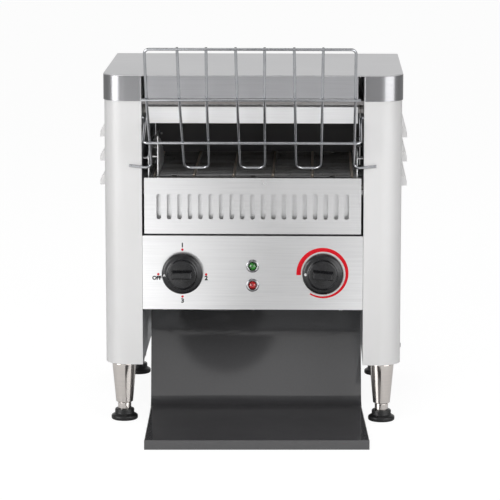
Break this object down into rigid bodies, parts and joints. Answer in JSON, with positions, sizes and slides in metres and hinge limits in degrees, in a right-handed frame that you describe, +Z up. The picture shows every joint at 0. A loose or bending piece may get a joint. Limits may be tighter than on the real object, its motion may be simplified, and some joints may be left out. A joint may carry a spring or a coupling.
{
  "type": "conveyor toaster",
  "caption": "Countertop conveyor toaster: wire loading rack, wire belt between quartz heaters, knob and lamp panel, and a dark slide-out discharge tray.",
  "frame": {"origin": "centre of the footprint on the counter, midway between the tray's front corner and the cord gland", "axes": "+Z up, +X to the right seen from the front, the loading side faces -Y"},
  "size_m": [0.3796, 0.4672, 0.4808],
  "materials": {
    "casing_paint": "light grey powder coat",
    "band_steel": "brushed stainless, vertical grain",
    "cover_steel": "satin stainless",
    "lip_steel": "dull stainless",
    "panel_steel": "brushed stainless, horizontal grain",
    "shield_steel": "bright stainless",
    "chassis_steel": "galvanised sheet",
    "reflector_steel": "aluminised sheet, heat darkened",
    "quartz": "milky quartz tube",
    "ceramic": "steatite ceramic",
    "belt_steel": "stainless wire, heat tinted",
    "wheel_steel": "machined steel",
    "shaft_steel": "ground steel bar",
    "bronze": "sintered bronze",
    "chain_steel": "oiled chain",
    "motor_paint": "dark paint",
    "gearbox_cast": "die-cast housing",
    "black_plastic": "black moulded plastic",
    "fan_plastic": "black glass-filled plastic",
    "guard_wire": "plated wire",
    "switch_plastic": "switch moulding",
    "board": "circuit board with its control",
    "lamp_chrome": "polished ring",
    "lamp_plastic": "lamp holder moulding",
    "green_glass": "faceted green lens",
    "red_glass": "faceted red lens",
    "bakelite": "brown phenolic",
    "terminal_plastic": "white nylon",
    "rack_chrome": "bright plated wire",
    "tray_dark": "dark grey semi-gloss coating",
    "leg_steel": "polished stainless",
    "foot_rubber": "black rubber foot",
    "screw_steel": "plated pan-head screw"
  },
  "bodies": {
    "frame": {"left_side_casing": "casing_paint", "right_side_casing": "casing_paint", "top_bands": "band_steel", "top_cover": "cover_steel", "front_lip": "lip_steel", "left_side_plate": "chassis_steel", "right_side_plate": "chassis_steel", "base_plates": "chassis_steel", "rear_panel": "casing_paint", "rear_crossbar": "chassis_steel", "control_panel": "panel_steel", "control_box": "chassis_steel", "vented_front_panel": "panel_steel", "slot_shield": "shield_steel", "upper_front_shield": "shield_steel", "upper_reflector": "reflector_steel", "lower_reflector": "reflector_steel", "upper_heaters": "quartz", "lower_heaters": "quartz", "heater_end_caps": "ceramic", "conveyor_belt": "belt_steel", "shaft_bushes": "bronze", "belt_support": "chassis_steel", "bread_guides": "shield_steel", "drive_chain": "chain_steel", "drive_motor": "motor_paint", "gearbox": "gearbox_cast", "fan_frame": "fan_plastic", "fan_guard": "guard_wire", "element_switch": "switch_plastic", "speed_control": "board", "lamp_rings": "lamp_chrome", "lamp_bodies": "lamp_plastic", "green_lens": "green_glass", "red_lens": "red_glass", "thermal_cutout": "bakelite", "terminal_block": "terminal_plastic", "cord_gland": "black_plastic", "inner_chute": "reflector_steel", "legs": "leg_steel", "leg_nuts": "screw_steel", "case_screws": "screw_steel"},
    "drive": {"drive_shaft": "shaft_steel", "drive_sprockets": "wheel_steel", "chain_wheel": "wheel_steel"},
    "idler": {"idler_shaft": "shaft_steel", "idler_sprockets": "wheel_steel"},
    "motor_output": {"motor_output_shaft": "shaft_steel", "motor_chain_wheel": "wheel_steel"},
    "fan": {"fan_impeller": "fan_plastic"},
    "element_control": {"element_knob": "black_plastic", "element_spindle": "shaft_steel"},
    "speed_setting": {"speed_knob": "black_plastic", "speed_spindle": "shaft_steel"},
    "rack": {"bread_rack": "rack_chrome"},
    "tray": {"discharge_tray": "tray_dark"},
    "foot_front_left": {"front_left_foot": "foot_rubber"},
    "foot_front_right": {"front_right_foot": "foot_rubber"},
    "foot_rear_left": {"rear_left_foot": "foot_rubber"},
    "foot_rear_right": {"rear_right_foot": "foot_rubber"}
  },
  "joints": [
    {"name": "drive_spin", "type": "hinge", "parent": "frame", "child": "drive", "pos_m": [0, 0.1675, 0.28269], "axis": [1, 0, 0], "continuous": true, "deforming": ["conveyor_belt", "drive_chain"]},
    {"name": "idler_spin", "type": "hinge", "parent": "frame", "child": "idler", "pos_m": [0, -0.0484, 0.28269], "axis": [1, 0, 0], "continuous": true},
    {"name": "motor_spin", "type": "hinge", "parent": "frame", "child": "motor_output", "pos_m": [0, 0.00735, 0.19208], "axis": [1, 0, 0], "continuous": true},
    {"name": "fan_spin", "type": "hinge", "parent": "frame", "child": "fan", "pos_m": [-0.042, -0.0216, 0.142], "axis": [0, 0, 1], "continuous": true},
    {"name": "element_turn", "type": "hinge", "parent": "frame", "child": "element_control", "pos_m": [-0.0864, -0.0844, 0.1874], "axis": [0, 1, 0], "range_deg": [0, 270]},
    {"name": "speed_turn", "type": "hinge", "parent": "frame", "child": "speed_setting", "pos_m": [0.0864, -0.0844, 0.1874], "axis": [0, 1, 0], "range_deg": [0, 300]},
    {"name": "rack_lift", "type": "hinge", "parent": "frame", "child": "rack", "pos_m": [0, -0.0754, 0.379], "axis": [-1, 0, 0], "range_deg": [0, 75]},
    {"name": "tray_slide", "type": "slide", "parent": "frame", "child": "tray", "axis": [0, -1, 0], "range_m": [0, 0.25]},
    {"name": "front_left_foot_screw", "type": "slide", "parent": "frame", "child": "foot_front_left", "axis": [0, 0, -1], "range_m": [0, 0.015]},
    {"name": "front_right_foot_screw", "type": "slide", "parent": "frame", "child": "foot_front_right", "axis": [0, 0, -1], "range_m": [0, 0.015]},
    {"name": "rear_left_foot_screw", "type": "slide", "parent": "frame", "child": "foot_rear_left", "axis": [0, 0, -1], "range_m": [0, 0.015]},
    {"name": "rear_right_foot_screw", "type": "slide", "parent": "frame", "child": "foot_rear_right", "axis": [0, 0, -1], "range_m": [0, 0.015]}
  ],
  "couplings": [
    {"joint": "idler_spin", "follows": "drive_spin", "ratio": 1},
    {"joint": "motor_spin", "follows": "drive_spin", "ratio": 1}
  ]
}
